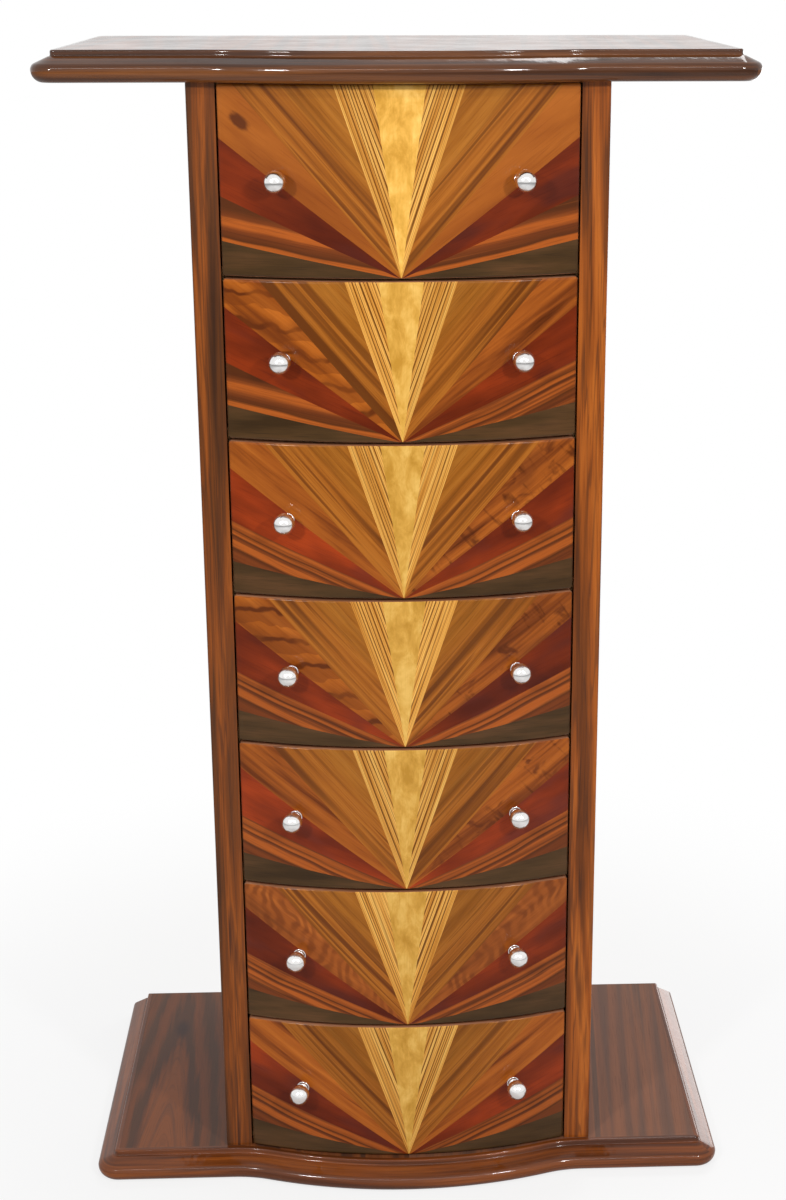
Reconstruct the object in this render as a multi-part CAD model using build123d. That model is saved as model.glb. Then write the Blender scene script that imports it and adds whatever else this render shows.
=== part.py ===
from build123d import *
import math
import os

# Chest of seven bowed drawers between two wide slabs. Millimetres, +Z up, front towards -Y.
# The origin is on the floor, in the middle of the piece.

# Overall size
overall_height = 1400.0
overall_width = 800.0

# Slabs: the base and the top are alike
slab_thickness = 34.0
slab_depth = 414.0
bulge_depth = 37.0
bulge_half_width = 225.0
cove_radius = 163.0

# Moulding round the slabs, measured outwards from its upright fillet
lip_width = 6.0
moulding_reach = 22.0
fillet_height = 7.0
ledge_width = 3.0
nose_height = 13.0
nose_radius = 8.0
under_inset = 10.0

# Case
case_width = 468.0
edge_lead = 7.0
stile_width = 32.0
stile_thickness = 22.0
stile_edge_radius = 2.0
side_thickness = 20.0
back_reveal = 10.0
back_thickness = 9.0
rebate_width = 10.0

# Drawer openings: a taller one on top, and below it six that share the rest of the height
lower_drawer_count = 6
top_pitch = 213.0

# Rails, runners and cleats
rail_thickness = 18.0
rail_reach = 70.0
runner_shelf = 34.0
guide_height = 25.0
cleat_size = 20.0

# Drawer fronts
front_gap = 3.0
front_side_gap = 2.0
front_bow = 34.0
front_thickness = 20.0
front_corner_radius = 3.5
front_edge_radius = 3.0
veneer_thickness = 1.0

# Rays of the marquetry, alike on every front. The fourth ray from the side holds the top corners of
# all the fronts. The seams below it are shares of the angle from the bottom edge up to the lowest of
# these corners, and the seams above it share the angle between the highest corner and the upright.
low_ray_shares = [0.26, 0.56, 0.875]
high_ray_shares = [0.06, 0.312, 0.564, 0.82]

# Drawer boxes
box_board = 12.0
box_rear_room = 6.0
bottom_thickness = 5.0
bottom_rise = 8.0
groove_depth = 6.0
back_drop = 6.0

# Knobs and their screws
knob_spacing = 266.0
knob_rise = 2.0
ball_diameter = 25.0
ball_stand_off = 20.0
neck_diameter = 9.0
collar_diameter = 16.0
collar_thickness = 2.5
knob_screw_diameter = 4.0
knob_screw_grip = 9.0
knob_screw_head_diameter = 8.0
knob_screw_head_height = 2.6

# Dowels and wood screws
dowel_diameter = 8.0
dowel_in_slab = 16.0
dowel_in_side = 24.0
dowels_per_end = 3
dowel_edge_margin = 45.0
screw_diameter = 3.5
screw_head_diameter = 7.0
screw_head_height = 2.5
slab_screw_length = 28.0
slab_screw_spacing = 150.0
runner_screw_length = 27.0
runner_screw_margin = 75.0
back_screw_length = 24.0
back_screw_rows = 7
back_screw_margin = 60.0

# Clearances
glue_line = 0.1
running_clearance = 0.3
side_clearance = 2.0
guide_clearance = 1.0
top_clearance = 4.2
rail_clearance = 0.5
groove_clearance = 0.2
hole_clearance = 0.1
head_sink = 0.3

# Places worked out from the sizes above
overall_depth = slab_depth + moulding_reach + bulge_depth
slab_back_y = overall_depth / 2
fillet_y = slab_back_y - slab_depth
fillet_half_width = overall_width / 2 - moulding_reach
board_half_width = fillet_half_width - lip_width
stile_front_y = fillet_y + edge_lead
stile_back_y = stile_front_y + stile_thickness
case_half_width = case_width / 2
side_inner_x = case_half_width - side_thickness
opening_half_width = case_half_width - stile_width
case_back_y = slab_back_y - back_reveal
panel_front_y = case_back_y - back_thickness
case_bottom_z = slab_thickness
case_top_z = overall_height - slab_thickness
lower_pitch = (case_top_z - case_bottom_z - top_pitch) / lower_drawer_count
drawer_count = lower_drawer_count + 1
front_half_width = opening_half_width - front_side_gap

# The seams of the marquetry as angles from a front's bottom edge, from the side to the middle
quarter_turn = 90.0
front_heights = [lower_pitch - front_gap, top_pitch - front_gap]
low_corner_angle = math.degrees(math.atan2(min(front_heights), front_half_width))
high_corner_angle = math.degrees(math.atan2(max(front_heights), front_half_width))
ray_angles = [share * low_corner_angle for share in low_ray_shares]
for share in high_ray_shares:
    ray_angles.append(high_corner_angle + share * (quarter_turn - high_corner_angle))

# The bow of the drawer fronts is one arc, ending level with the stiles
bow_radius = (opening_half_width ** 2 + front_bow ** 2) / (2 * front_bow)
bow_centre_y = stile_front_y - front_bow + bow_radius

# The bulge of the slabs is an arc that flows into a hollow arc on each side
arc_pair_sum = (bulge_half_width ** 2 + bulge_depth ** 2) / (2 * bulge_depth)
bulge_radius = arc_pair_sum - cove_radius
bulge_centre_y = fillet_y - bulge_depth + bulge_radius
cove_centre_y = fillet_y - cove_radius
turn_angle = math.atan2(bulge_half_width, bulge_centre_y - cove_centre_y)

# Rails and drawer boxes
rail_back_y = stile_front_y + rail_reach
end_rail_thickness = rail_thickness / 2
box_half_width = opening_half_width - side_clearance
box_inner_x = box_half_width - box_board
box_back_y = panel_front_y - cleat_size - box_rear_room
knob_x = knob_spacing / 2


def block(x0, x1, y0, y1, z0, z1):
    """Plain board between two corners."""
    size = Box(x1 - x0, y1 - y0, z1 - z0, align=(Align.MIN, Align.MIN, Align.MIN))
    return Pos(x0, y0, z0) * size


def solids_of(shape):
    """All solids of a shape as a list."""
    return list(shape.solids())


def group(pieces):
    """Separate solids kept together in one node."""
    solids = []
    for piece in pieces:
        solids.extend(solids_of(piece))
    return Compound(children=solids)


def mirrored(shape):
    """The same piece on the other side of the chest."""
    return mirror(shape, about=Plane.YZ)


def slab_front_edges(inset, half_width):
    """Serpentine front line of a slab, set back from the fillet line by inset, left to right."""
    y_straight = fillet_y + inset
    bulge_r = bulge_radius - inset
    cove_r = cove_radius + inset
    half_turn = turn_angle / 2

    def on_bulge(angle):
        return (bulge_r * math.sin(angle), bulge_centre_y - bulge_r * math.cos(angle))

    def on_cove(angle, side):
        x = side * (bulge_half_width - cove_r * math.sin(angle))
        return (x, cove_centre_y + cove_r * math.cos(angle))

    left = Line((-half_width, y_straight), (-bulge_half_width, y_straight))
    left_cove = ThreePointArc(on_cove(0, -1), on_cove(half_turn, -1), on_cove(turn_angle, -1))
    bulge = ThreePointArc(on_bulge(-turn_angle), on_bulge(0), on_bulge(turn_angle))
    right_cove = ThreePointArc(on_cove(turn_angle, 1), on_cove(half_turn, 1), on_cove(0, 1))
    right = Line((bulge_half_width, y_straight), (half_width, y_straight))
    return [left, left_cove, bulge, right_cove, right]


def slab_board(bottom_z):
    """Board of a slab, inside its moulding."""
    front = slab_front_edges(lip_width, board_half_width)
    corner_y = fillet_y + lip_width
    sides = Polyline(
        (board_half_width, corner_y),
        (board_half_width, slab_back_y),
        (-board_half_width, slab_back_y),
        (-board_half_width, corner_y),
    )
    outline = Wire(front + sides.edges())
    return Pos(0, 0, bottom_z) * extrude(Face(outline), slab_thickness, dir=(0, 0, 1))


def moulding_face(plane):
    """Section of the moulding: x outwards from the board's edge, y up from the slab's underside."""
    fillet_u = lip_width
    tip_u = lip_width + moulding_reach
    ledge_u = fillet_u + ledge_width
    ledge_v = slab_thickness - fillet_height
    nose_u = tip_u - nose_radius
    to_ledge_u = ledge_u - nose_u
    to_ledge_v = ledge_v - nose_height
    distance = math.hypot(to_ledge_u, to_ledge_v)
    slope_angle = math.atan2(to_ledge_v, to_ledge_u) - math.acos(nose_radius / distance)
    under_radius = (under_inset ** 2 + nose_height ** 2) / (2 * under_inset)
    under_angle = math.asin(nose_height / under_radius)

    def on_nose(angle):
        return (nose_u + nose_radius * math.cos(angle), nose_height + nose_radius * math.sin(angle))

    def on_under(angle):
        centre_u = tip_u - under_radius
        return (centre_u + under_radius * math.cos(angle), nose_height - under_radius * math.sin(angle))

    edges = [
        Line((glue_line, 0), on_under(under_angle)),
        ThreePointArc(on_under(under_angle), on_under(under_angle / 2), (tip_u, nose_height)),
        ThreePointArc((tip_u, nose_height), on_nose(slope_angle / 2), on_nose(slope_angle)),
        Line(on_nose(slope_angle), (ledge_u, ledge_v)),
        Line((ledge_u, ledge_v), (fillet_u, ledge_v)),
        Line((fillet_u, ledge_v), (fillet_u, slab_thickness)),
        Line((fillet_u, slab_thickness), (glue_line, slab_thickness)),
        Line((glue_line, slab_thickness), (glue_line, 0)),
    ]
    return plane * Face(Wire(edges))


def corner_sector(bottom_z, start_angle):
    """Eighth of a turn of the moulding round the board's right front corner."""
    corner = (board_half_width, fillet_y + lip_width, bottom_z)
    angle = math.radians(start_angle)
    outwards = (math.cos(angle), math.sin(angle), 0)
    along = (math.sin(angle), -math.cos(angle), 0)
    section = moulding_face(Plane(origin=corner, x_dir=outwards, z_dir=along))
    return revolve(section, Axis(corner, (0, 0, 1)), revolution_arc=45)


def front_moulding(bottom_z):
    """Front moulding, mitred at both ends."""
    path = Pos(0, 0, bottom_z) * Wire(slab_front_edges(lip_width, board_half_width))
    start = (-board_half_width, fillet_y + lip_width, bottom_z)
    section = moulding_face(Plane(origin=start, x_dir=(0, -1, 0), z_dir=(-1, 0, 0)))
    run = sweep(section, path=path)
    right_end = corner_sector(bottom_z, -90)
    return run + right_end + mirrored(right_end)


def side_mouldings(bottom_z):
    """Left and right mouldings, mitred at the front and cut square at the back."""
    corner_y = fillet_y + lip_width
    start = (board_half_width, corner_y, bottom_z)
    section = moulding_face(Plane(origin=start, x_dir=(1, 0, 0), z_dir=(0, -1, 0)))
    run = extrude(section, slab_back_y - corner_y, dir=(0, 1, 0))
    right = run + corner_sector(bottom_z, -45)
    return group([mirrored(right), right])


def wood_screw(length):
    """Countersunk wood screw, its head's face at the origin and its shank along -Z."""
    head_r = screw_head_diameter / 2
    shank_r = screw_diameter / 2
    tip = shank_r
    profile = Polyline(
        (0, 0),
        (head_r, 0),
        (shank_r, -screw_head_height),
        (shank_r, tip - length),
        (0, -length),
        (0, 0),
    )
    return revolve(Plane.XZ * Face(Wire(profile.edges())), Axis.Z)


def screw_hole(length):
    """Hole for a countersunk wood screw, with its clearance all round."""
    head_r = screw_head_diameter / 2 + hole_clearance
    shank_r = screw_diameter / 2 + hole_clearance
    profile = Polyline(
        (0, head_sink),
        (head_r, head_sink),
        (head_r, 0),
        (shank_r, -screw_head_height),
        (shank_r, -length - hole_clearance),
        (0, -length - hole_clearance),
        (0, head_sink),
    )
    return revolve(Plane.XZ * Face(Wire(profile.edges())), Axis.Z)


def spread(first, last, count):
    """Evenly spaced places from first to last."""
    step = (last - first) / (count - 1)
    return [first + step * k for k in range(count)]


def drawer_floor_z(number):
    """Height of the line under a drawer. Drawer 1 is the top one."""
    return case_bottom_z + (drawer_count - number) * lower_pitch


def drawer_pitch(number):
    """Height of a drawer's opening."""
    return top_pitch if number == 1 else lower_pitch


def rail_top_z(number):
    """Top of the rail under a drawer, on which its box slides."""
    return drawer_floor_z(number) + rail_thickness / 2


def rail_bottom_z(number):
    """Underside of the rail under a drawer. The lowest rail is half as thick."""
    return max(drawer_floor_z(number) - rail_thickness / 2, case_bottom_z)


def bow_cylinder(radius, z0, z1):
    """Round block about the axis of the bow, used to shape what follows it."""
    return Pos(0, bow_centre_y, z0) * Cylinder(
        radius, z1 - z0, align=(Align.CENTER, Align.CENTER, Align.MIN)
    )


def dowel_places():
    """Middle of each dowel's joint line and its side of the chest."""
    y_places = spread(stile_back_y + dowel_edge_margin, panel_front_y - dowel_edge_margin, dowels_per_end)
    dowel_x = case_half_width - side_thickness / 2
    places = []
    for x in (-dowel_x, dowel_x):
        for y in y_places:
            places.append((x, y, case_bottom_z, 1))
            places.append((x, y, case_top_z, -1))
    return places


def dowel(place, clearance):
    """Dowel, or with a clearance its hole, across a joint of side panel and slab."""
    x, y, joint_z, into_side = place
    slab_end = joint_z - into_side * (dowel_in_slab + clearance)
    side_end = joint_z + into_side * (dowel_in_side + clearance)
    low = min(slab_end, side_end)
    height = abs(side_end - slab_end)
    radius = dowel_diameter / 2 + clearance
    return Pos(x, y, low) * Cylinder(radius, height, align=(Align.CENTER, Align.CENTER, Align.MIN))


def slab_screw_places():
    """Slab screws: place of the head and which way the screw points, up 1 or down -1."""
    front_y = rail_back_y - rail_reach / 3
    rear_y = panel_front_y - cleat_size / 2
    places = []
    for x in (-slab_screw_spacing, 0, slab_screw_spacing):
        places.append((x, front_y, case_bottom_z + end_rail_thickness - head_sink, -1))
        places.append((x, front_y, case_top_z - end_rail_thickness + head_sink, 1))
        places.append((x, rear_y, case_bottom_z + cleat_size - head_sink, -1))
        places.append((x, rear_y, case_top_z - cleat_size + head_sink, 1))
    return places


def slab_screw_shape(shape, place):
    """A slab screw or its hole, turned and moved to its place."""
    x, y, z, direction = place
    turned = shape if direction < 0 else Rot(180, 0, 0) * shape
    return Pos(x, y, z) * turned


def runner_screw_places():
    """Heads of the runner screws: inner face of the guide, side of the chest, y and z."""
    y_places = spread(rail_back_y + runner_screw_margin, panel_front_y - runner_screw_margin, 2)
    guide_x = box_half_width + guide_clearance + head_sink
    places = []
    for number in range(1, drawer_count + 1):
        z = rail_top_z(number) + guide_height / 2
        for side in (-1, 1):
            for y in y_places:
                places.append((side, side * guide_x, y, z))
    return places


def runner_screw_shape(shape, place):
    """A runner screw or its hole, pointing outwards through the guide."""
    side, x, y, z = place
    return Pos(x, y, z) * Rot(0, -90 * side, 0) * shape


def back_screw_places():
    """Heads of the back panel's screws: both edges, and the two cleats."""
    edge_x = side_inner_x + rebate_width / 2
    z_places = spread(case_bottom_z + back_screw_margin, case_top_z - back_screw_margin, back_screw_rows)
    places = []
    for x in (-edge_x, edge_x):
        for z in z_places:
            places.append((x, z))
    for x in (-slab_screw_spacing / 2, slab_screw_spacing / 2):
        places.append((x, case_bottom_z + cleat_size / 2))
        places.append((x, case_top_z - cleat_size / 2))
    return places


def back_screw_shape(shape, place):
    """A screw of the back panel or its hole, pointing forwards."""
    x, z = place
    return Pos(x, case_back_y - head_sink, z) * Rot(-90, 0, 0) * shape


def cut_all(piece, tools):
    """The piece less every tool."""
    return piece - group(tools)


def near(tools, piece):
    """The tools whose boxes touch the piece's box."""
    box = piece.bounding_box()
    kept = []
    for tool in tools:
        other = tool.bounding_box()
        apart_x = other.min.X > box.max.X or other.max.X < box.min.X
        apart_y = other.min.Y > box.max.Y or other.max.Y < box.min.Y
        apart_z = other.min.Z > box.max.Z or other.max.Z < box.min.Z
        if not (apart_x or apart_y or apart_z):
            kept.append(tool)
    return kept


def drilled(piece):
    """The piece with the holes of every fixing that reaches it."""
    tools = near(fixing_holes, piece)
    return cut_all(piece, tools) if tools else piece


def side_panel():
    """Right side panel, rebated for the back panel."""
    panel = block(side_inner_x, case_half_width, stile_back_y, case_back_y, case_bottom_z, case_top_z)
    rebate = block(
        side_inner_x, side_inner_x + rebate_width, panel_front_y, case_back_y, case_bottom_z, case_top_z
    )
    return panel - rebate


def front_stile():
    """Right front stile, its outer front edge eased."""
    stile = block(
        opening_half_width, case_half_width, stile_front_y, stile_back_y, case_bottom_z, case_top_z
    )
    outer_edge = stile.edges().filter_by(Axis.Z).sort_by(Axis.Y)[:2].sort_by(Axis.X)[-1]
    return fillet(outer_edge, stile_edge_radius)


def drawer_rail(z0, z1):
    """Rail behind the fronts: bowed in front, with ends that reach behind the stiles."""
    middle = block(-opening_half_width, opening_half_width, stile_front_y - front_bow, rail_back_y, z0, z1)
    bowed = middle & bow_cylinder(bow_radius - front_thickness - rail_clearance, z0, z1)
    ends = block(-side_inner_x, side_inner_x, stile_back_y, rail_back_y, z0, z1)
    return bowed + ends


def drawer_rails():
    """All rails, from the one over the top drawer to the one under the lowest."""
    rails = [drawer_rail(case_top_z - end_rail_thickness, case_top_z)]
    for number in range(1, drawer_count + 1):
        rails.append(drawer_rail(rail_bottom_z(number), rail_top_z(number)))
    return rails


def drawer_runner(number):
    """Right runner of a drawer: a shelf under the box and a guide beside it."""
    shelf = block(
        side_inner_x - runner_shelf,
        side_inner_x,
        rail_back_y,
        panel_front_y,
        rail_bottom_z(number),
        rail_top_z(number),
    )
    guide = block(
        box_half_width + guide_clearance,
        side_inner_x,
        rail_back_y,
        panel_front_y,
        rail_top_z(number),
        rail_top_z(number) + guide_height,
    )
    runner = shelf + guide
    is_lowest = number == drawer_count
    if is_lowest:
        runner = runner - lower_cleat
    return runner


def rear_cleat(z0):
    """Batten across the back between the side panels."""
    return block(-side_inner_x, side_inner_x, panel_front_y - cleat_size, panel_front_y, z0, z0 + cleat_size)


def knob_places():
    """Feet of the two knobs on the bowed front: x, y and the outward lean in degrees."""
    lean = math.asin(knob_x / bow_radius)
    y = bow_centre_y - bow_radius * math.cos(lean)
    return [(-knob_x, y, -math.degrees(lean)), (knob_x, y, math.degrees(lean))]


def at_knob(shape, place, number):
    """Turn a shape made along +Z to a knob's axis and move it to the knob's foot."""
    x, y, lean = place
    front_low = drawer_floor_z(number)
    z = front_low + drawer_pitch(number) / 2 + knob_rise
    return Pos(x, y, z) * Rot(0, 0, lean) * Rot(90, 0, 0) * shape


def knob():
    """Ball knob on a neck and a collar, its foot at the origin and its axis along +Z."""
    foot = glue_line
    ball = Pos(0, 0, ball_stand_off) * Sphere(ball_diameter / 2)
    neck = Pos(0, 0, foot) * Cylinder(
        neck_diameter / 2, ball_stand_off - foot, align=(Align.CENTER, Align.CENTER, Align.MIN)
    )
    collar = Pos(0, 0, foot) * Cylinder(
        collar_diameter / 2, collar_thickness, align=(Align.CENTER, Align.CENTER, Align.MIN)
    )
    collar_edge = collar.edges().sort_by(Axis.Z)[-1]
    body = ball + neck + fillet(collar_edge, collar_thickness / 3)
    return body - knob_screw_cylinder(hole_clearance / 2, hole_clearance)


def knob_screw_cylinder(growth, extra_reach):
    """Shank of a knob's screw along +Z, or with growth its hole."""
    low = -front_thickness - extra_reach
    length = front_thickness + knob_screw_grip + 2 * extra_reach
    return Pos(0, 0, low) * Cylinder(
        knob_screw_diameter / 2 + growth, length, align=(Align.CENTER, Align.CENTER, Align.MIN)
    )


def knob_screw():
    """Machine screw from inside the drawer, with a round head."""
    head_r = knob_screw_head_diameter / 2
    head = Pos(0, 0, -front_thickness - glue_line - knob_screw_head_height) * Cylinder(
        head_r, knob_screw_head_height, align=(Align.CENTER, Align.CENTER, Align.MIN)
    )
    rounded = fillet(head.edges().sort_by(Axis.Z)[0], knob_screw_head_height / 2)
    return rounded + knob_screw_cylinder(0, glue_line)


def front_low_z(number):
    """Lower edge of a drawer front."""
    return drawer_floor_z(number) + front_gap / 2


def front_blank(number):
    """Bowed front with rounded corners and front edges, core and veneer in one."""
    z0 = front_low_z(number)
    z1 = drawer_floor_z(number) + drawer_pitch(number) - front_gap / 2
    reach = stile_front_y + front_thickness
    strip = block(
        -front_half_width, front_half_width, stile_front_y - front_bow, reach, z0, z1
    )
    bowed = strip & bow_cylinder(bow_radius, z0, z1)
    bowed = bowed - bow_cylinder(bow_radius - front_thickness, z0, z1)
    cornered = fillet(bowed.edges().filter_by(Axis.Y), front_corner_radius)
    show_face = cornered.faces().sort_by(Axis.Y)[0]
    return fillet(show_face.edges(), front_edge_radius)


def groove_z(number):
    """Underside of a drawer's bottom panel."""
    return box_floor_z(number) + bottom_rise


def box_floor_z(number):
    """Underside of a drawer's box, just clear of its runners."""
    return rail_top_z(number) + running_clearance


def box_top_z(number):
    """Top edge of a drawer's box, just under the next rail."""
    next_rail = drawer_floor_z(number) + drawer_pitch(number) - rail_thickness / 2
    return next_rail - top_clearance


def bottom_groove(number):
    """Groove for the bottom panel in the sides and in the front."""
    z0 = groove_z(number)
    z1 = z0 + bottom_thickness + groove_clearance
    reach = box_inner_x + groove_depth
    strip = block(-reach, reach, stile_front_y - front_bow, box_back_y, z0, z1)
    return strip & bow_cylinder(bow_radius - front_thickness + groove_depth, z0, z1)


def drawer_front(number):
    """Core of a bowed front, grooved for the bottom and bored for the knob screws."""
    z0 = drawer_floor_z(number)
    inside = bow_cylinder(bow_radius - veneer_thickness - glue_line, z0, z0 + drawer_pitch(number))
    core = front_blank(number) & inside
    holes = [at_knob(knob_screw_cylinder(hole_clearance, 1), place, number) for place in knob_places()]
    return cut_all(core, [bottom_groove(number)] + holes)


def ray_wedge(low_angle, high_angle, number):
    """Upright wedge from the middle of a front's bottom edge, on the right of the chest."""
    apex_z = front_low_z(number)
    reach = 2 * (opening_half_width + drawer_pitch(number))
    low = math.radians(low_angle)
    high = math.radians(high_angle)
    corners = Polyline(
        (0, apex_z),
        (reach * math.cos(low), apex_z + reach * math.sin(low)),
        (reach * math.cos(high), apex_z + reach * math.sin(high)),
        (0, apex_z),
    )
    face = Plane.XZ * Face(Wire(corners.edges()))
    rear_y = stile_front_y + front_thickness
    front_y = stile_front_y - 2 * front_bow
    return Pos(0, rear_y, 0) * extrude(face, rear_y - front_y, dir=(0, -1, 0))


def drawer_marquetry(number):
    """Fifteen rays of veneer that fan out from the middle of the bottom edge."""
    z0 = drawer_floor_z(number)
    core_side = bow_cylinder(bow_radius - veneer_thickness, z0, z0 + drawer_pitch(number))
    sheet = front_blank(number) - core_side
    holes = [at_knob(knob_screw_cylinder(hole_clearance, 1), place, number) for place in knob_places()]
    sheet = cut_all(sheet, holes)
    edges = [0.0] + ray_angles
    rays = []
    for low_angle, high_angle in zip(edges[:-1], edges[1:]):
        wedge = ray_wedge(low_angle, high_angle, number)
        rays.append(sheet & wedge)
        rays.append(sheet & mirrored(wedge))
    rays.append(sheet & ray_wedge(edges[-1], 2 * quarter_turn - edges[-1], number))
    return group(rays)


def drawer_box(number):
    """Two sides and a back. The sides follow the bow where they meet the front."""
    z0 = box_floor_z(number)
    z1 = box_top_z(number)
    side = block(box_inner_x, box_half_width, stile_front_y, box_back_y, z0, z1)
    side = side & bow_cylinder(bow_radius - front_thickness - glue_line, z0, z1)
    side = side - bottom_groove(number)
    back_low = groove_z(number) + bottom_thickness
    back = block(
        -box_inner_x, box_inner_x, box_back_y - box_board, box_back_y, back_low, z1 - back_drop
    )
    return group([mirrored(side), side, back])


def drawer_bottom(number):
    """Bottom panel, held in grooves of the sides and the front."""
    z0 = groove_z(number)
    z1 = z0 + bottom_thickness
    half = box_inner_x + groove_depth - groove_clearance
    panel = block(-half, half, stile_front_y - front_bow, box_back_y, z0, z1)
    front_r = bow_radius - front_thickness + groove_depth - groove_clearance
    return panel & bow_cylinder(front_r, z0, z1)


# Fixings, and the holes that they need
dowel_list = [dowel(place, 0) for place in dowel_places()]
slab_screw_list = [slab_screw_shape(wood_screw(slab_screw_length), p) for p in slab_screw_places()]
runner_screw_list = [
    runner_screw_shape(wood_screw(runner_screw_length), p) for p in runner_screw_places()
]
back_screw_list = [back_screw_shape(wood_screw(back_screw_length), p) for p in back_screw_places()]
fixing_holes = [dowel(place, hole_clearance) for place in dowel_places()]
fixing_holes += [slab_screw_shape(screw_hole(slab_screw_length), p) for p in slab_screw_places()]
fixing_holes += [runner_screw_shape(screw_hole(runner_screw_length), p) for p in runner_screw_places()]
fixing_holes += [back_screw_shape(screw_hole(back_screw_length), p) for p in back_screw_places()]

lower_cleat = rear_cleat(case_bottom_z)
upper_cleat = rear_cleat(case_top_z - cleat_size)

nodes = {}

# Slabs
nodes["base_board"] = drilled(slab_board(0))
nodes["base_front_moulding"] = front_moulding(0)
nodes["base_side_mouldings"] = side_mouldings(0)
nodes["top_board"] = drilled(slab_board(case_top_z))
nodes["top_front_moulding"] = front_moulding(case_top_z)
nodes["top_side_mouldings"] = side_mouldings(case_top_z)

# Case
right_panel = side_panel()
right_stile = front_stile()
nodes["left_side_panel"] = drilled(mirrored(right_panel))
nodes["right_side_panel"] = drilled(right_panel)
nodes["left_front_stile"] = mirrored(right_stile)
nodes["right_front_stile"] = right_stile
back = block(
    -side_inner_x - rebate_width,
    side_inner_x + rebate_width,
    panel_front_y,
    case_back_y,
    case_bottom_z,
    case_top_z,
)
nodes["back_panel"] = drilled(back)
nodes["drawer_rails"] = group([drilled(rail) for rail in drawer_rails()])
runners = []
for number in range(1, drawer_count + 1):
    right_runner = drawer_runner(number)
    runners.append(drilled(mirrored(right_runner)))
    runners.append(drilled(right_runner))
nodes["drawer_runners"] = group(runners)
nodes["rear_cleats"] = group([drilled(lower_cleat), drilled(upper_cleat)])
nodes["case_dowels"] = group(dowel_list)
nodes["slab_screws"] = group(slab_screw_list)
nodes["runner_screws"] = group(runner_screw_list)
nodes["back_panel_screws"] = group(back_screw_list)

# Drawers, numbered from the top
for number in range(1, drawer_count + 1):
    name = "drawer_" + str(number)
    nodes[name + "_front"] = drawer_front(number)
    nodes[name + "_marquetry"] = drawer_marquetry(number)
    nodes[name + "_box"] = drawer_box(number)
    nodes[name + "_bottom"] = drawer_bottom(number)
    nodes[name + "_knobs"] = group([at_knob(knob(), place, number) for place in knob_places()])
    nodes[name + "_knob_screws"] = group([at_knob(knob_screw(), place, number) for place in knob_places()])

os.makedirs("parts", exist_ok=True)
for name, shape in nodes.items():
    export_step(shape, "parts/" + name + ".step")
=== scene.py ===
import math
import random

import bmesh
import bpy
from mathutils import Matrix, Vector


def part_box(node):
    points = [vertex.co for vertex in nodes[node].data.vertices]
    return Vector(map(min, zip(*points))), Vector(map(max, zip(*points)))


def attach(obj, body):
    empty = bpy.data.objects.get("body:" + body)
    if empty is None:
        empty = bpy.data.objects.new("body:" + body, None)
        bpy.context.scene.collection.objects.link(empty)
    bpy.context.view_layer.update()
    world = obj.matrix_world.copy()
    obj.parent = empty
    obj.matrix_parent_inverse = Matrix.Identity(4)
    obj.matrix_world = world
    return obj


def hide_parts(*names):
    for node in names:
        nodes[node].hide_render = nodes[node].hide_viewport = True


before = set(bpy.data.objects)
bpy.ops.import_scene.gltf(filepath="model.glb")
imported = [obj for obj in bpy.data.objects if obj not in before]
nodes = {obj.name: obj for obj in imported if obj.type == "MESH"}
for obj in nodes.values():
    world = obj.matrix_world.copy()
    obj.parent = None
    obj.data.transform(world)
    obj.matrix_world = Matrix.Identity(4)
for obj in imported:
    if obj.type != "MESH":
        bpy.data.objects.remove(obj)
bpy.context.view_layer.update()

# Tall chest of seven bowed drawers with sunburst marquetry, between two wide serpentine slabs.
# Metres, +Z up, front towards -Y, the origin on the floor under the middle of the chest.

# Camera, found from the photograph
picture_width = 786
picture_height = 1200
focal_pixels = 2016.4
axis_pixel_x = 460.0
camera_place = (-0.029, -2.4483, 1.4939)
camera_pitch = 0.308
camera_yaw = 0.042
film_height = 36.0

# Slabs and their moulding
slab_thickness = 0.034
bulge_depth = 0.037
bulge_half_width = 0.225
cove_radius = 0.163
lip_width = 0.006
moulding_reach = 0.022
fillet_height = 0.007
ledge_width = 0.003
nose_height = 0.013
nose_radius = 0.008
under_inset = 0.010
arris = 0.0008
lip_rounding = 0.0022
ledge_rounding = 0.0018
glue_line = 0.0001
bulge_steps = 32
cove_steps = 16
straight_steps = 12
mitre_steps = 8
side_steps = 24
rounding_steps = 6
arris_steps = 3
nose_steps = 12
under_steps = 10

# Drawers and their fronts
drawer_count = 7
box_board = 0.012
veneer_thickness = 0.001
front_edge_radius = 0.003
front_corner_radius = 0.0035
corner_steps = 5
front_columns = 50
edge_depths = [veneer_thickness, 0.0007, 0.0004, 0.0002, 0.00005, 0.0]
cut_tolerance = 1e-7
low_ray_shares = [0.26, 0.56, 0.875]
high_ray_shares = [0.06, 0.312, 0.564, 0.82]
left_figures = ["knot", "barred", "streaked", "barred", "streaked", "curly", "streaked"]
right_figures = ["plain", "streaked", "knotty", "knotty", "knotty", "curly", "streaked"]

# Tones from the top front down: the middle rays' own, and a factor for the red rays'
gold_tones = [1.18, 1.03, 0.96, 0.96, 0.96, 0.96, 0.96]
red_tones = [0.72, 0.75, 1.15, 0.82, 1.2, 0.85, 1.0]

# Range of the other rays' tones, the spread of their cuts and the seed
darkest_tone = 0.92
lightest_tone = 1.08
leaf_spread = 5
leaf_seed = 100

# Knobs
knob_spacing = 0.266
ball_radius = 0.0125
ball_stand_off = 0.020
neck_radius = 0.0045
collar_radius = 0.008
collar_thickness = 0.0025
collar_rounding = collar_thickness / 3
neck_flare = 0.0015
small_arc_steps = 5
ball_steps = 28
turned_steps = 56
pole_radius = 1e-6

# Edges look sharp where faces meet at more than this many degrees
moulding_crease = 40
front_crease = 50
knob_crease = 35

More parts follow.
